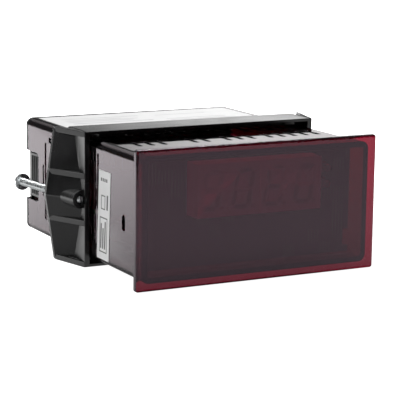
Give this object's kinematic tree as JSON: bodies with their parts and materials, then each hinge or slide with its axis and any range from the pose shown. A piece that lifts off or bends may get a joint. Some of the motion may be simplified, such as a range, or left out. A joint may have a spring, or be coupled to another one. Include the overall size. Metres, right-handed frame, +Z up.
{
  "type": "digital panel meter",
  "caption": "Panel meter with a dark red clear case and front window, a slide-out circuit base with terminal plugs, and a sliding ratchet latch with two clamp screws.",
  "frame": {"origin": "centre of the flange's back face, which lies on the panel's front surface", "axes": "+X to the right seen from the front, +Y back through the panel, +Z up"},
  "size_m": [0.1148, 0.1066, 0.05],
  "materials": {
    "case_plastic": "glossy, dark red, clear",
    "black_plastic": "satin, moulded",
    "latch_plastic": "satin, moulded",
    "screw_steel": "zinc plated",
    "label_white": "matt film",
    "label_silver": "satin film",
    "board_laminate": "solder mask",
    "display_grey": "smooth",
    "segment_epoxy": "milky resin",
    "led_red": "clear red resin",
    "core_steel": "varnished laminations",
    "bobbin_plastic": "moulded",
    "winding_tape": "polyester tape",
    "capacitor_sleeve": "shrink sleeve",
    "heat_sink_metal": "extruded",
    "chip_epoxy": "moulded epoxy",
    "resistor_body": "lacquered",
    "absorber_coating": "dipped coating",
    "trimmer_blue": "moulded",
    "brass": "plain",
    "switch_red": "moulded",
    "switch_white": "moulded",
    "terminal_green": "moulded",
    "tin": "tinned"
  },
  "bodies": {
    "housing": {"case": "case_plastic", "side_label": "label_white", "top_label": "label_silver"},
    "latch": {"panel_latch": "latch_plastic"},
    "left_screw": {"latch_screw_left": "screw_steel"},
    "right_screw": {"latch_screw_right": "screw_steel"},
    "circuit_base": {"rear_cover": "black_plastic", "display_board": "board_laminate", "digit_module_left": "display_grey", "digit_module_right": "display_grey", "digit_segments_left": "segment_epoxy", "digit_segments_right": "segment_epoxy", "annunciator_leds": "led_red", "board_connector": "black_plastic", "main_board": "board_laminate", "board_screws": "screw_steel", "transformer_core": "core_steel", "transformer_bobbin": "bobbin_plastic", "transformer_winding": "winding_tape", "main_capacitor": "capacitor_sleeve", "small_capacitors": "capacitor_sleeve", "bridge_rectifier": "chip_epoxy", "voltage_regulator": "chip_epoxy", "heat_sink": "heat_sink_metal", "heat_sink_screw": "screw_steel", "chip_socket": "black_plastic", "converter_chip": "chip_epoxy", "resistors": "resistor_body", "surge_absorber": "absorber_coating", "scale_trimmer": "trimmer_blue", "offset_trimmer": "trimmer_blue", "range_switch": "switch_red", "voltage_switch": "black_plastic", "signal_header": "terminal_green", "power_header": "terminal_green"},
    "signal_terminals": {"signal_plug": "terminal_green", "signal_clamps": "tin", "signal_clamp_screws": "screw_steel"},
    "power_terminals": {"power_plug": "terminal_green", "power_clamps": "tin", "power_clamp_screws": "screw_steel"},
    "scale_screw": {"scale_trimmer_screw": "brass"},
    "offset_screw": {"offset_trimmer_screw": "brass"},
    "voltage_lever": {"voltage_switch_lever": "switch_red"},
    "lever_1": {"range_lever_1": "switch_white"},
    "lever_2": {"range_lever_2": "switch_white"},
    "lever_3": {"range_lever_3": "switch_white"},
    "lever_4": {"range_lever_4": "switch_white"}
  },
  "joints": [
    {"name": "latch_slide", "type": "slide", "parent": "housing", "child": "latch", "axis": [0, 1, 0], "range_m": [-0.018, 0.018]},
    {"name": "left_screw_drive", "type": "slide", "parent": "latch", "child": "left_screw", "axis": [0.1253, -0.9921, 0], "range_m": [0, 0.012]},
    {"name": "right_screw_drive", "type": "slide", "parent": "latch", "child": "right_screw", "axis": [-0.1253, -0.9921, 0], "range_m": [0, 0.012]},
    {"name": "base_slide", "type": "slide", "parent": "housing", "child": "circuit_base", "axis": [0, 1, 0], "range_m": [0, 0.12]},
    {"name": "signal_plug_pull", "type": "slide", "parent": "circuit_base", "child": "signal_terminals", "axis": [0, 1, 0], "range_m": [0, 0.03]},
    {"name": "power_plug_pull", "type": "slide", "parent": "circuit_base", "child": "power_terminals", "axis": [0, 1, 0], "range_m": [0, 0.03]},
    {"name": "scale_screw_turn", "type": "hinge", "parent": "circuit_base", "child": "scale_screw", "pos_m": [0.025, 0.0202, -0.004], "axis": [0, 0, 1], "continuous": true},
    {"name": "offset_screw_turn", "type": "hinge", "parent": "circuit_base", "child": "offset_screw", "pos_m": [0.033, 0.0202, -0.004], "axis": [0, 0, 1], "continuous": true},
    {"name": "voltage_lever_slide", "type": "slide", "parent": "circuit_base", "child": "voltage_lever", "axis": [0, 1, 0], "range_m": [0, 0.0042]},
    {"name": "lever_1_slide", "type": "slide", "parent": "circuit_base", "child": "lever_1", "axis": [0, 1, 0], "range_m": [0, 0.002]},
    {"name": "lever_2_slide", "type": "slide", "parent": "circuit_base", "child": "lever_2", "axis": [0, 1, 0], "range_m": [0, 0.002]},
    {"name": "lever_3_slide", "type": "slide", "parent": "circuit_base", "child": "lever_3", "axis": [0, 1, 0], "range_m": [0, 0.002]},
    {"name": "lever_4_slide", "type": "slide", "parent": "circuit_base", "child": "lever_4", "axis": [0, 1, 0], "range_m": [0, 0.002]}
  ]
}
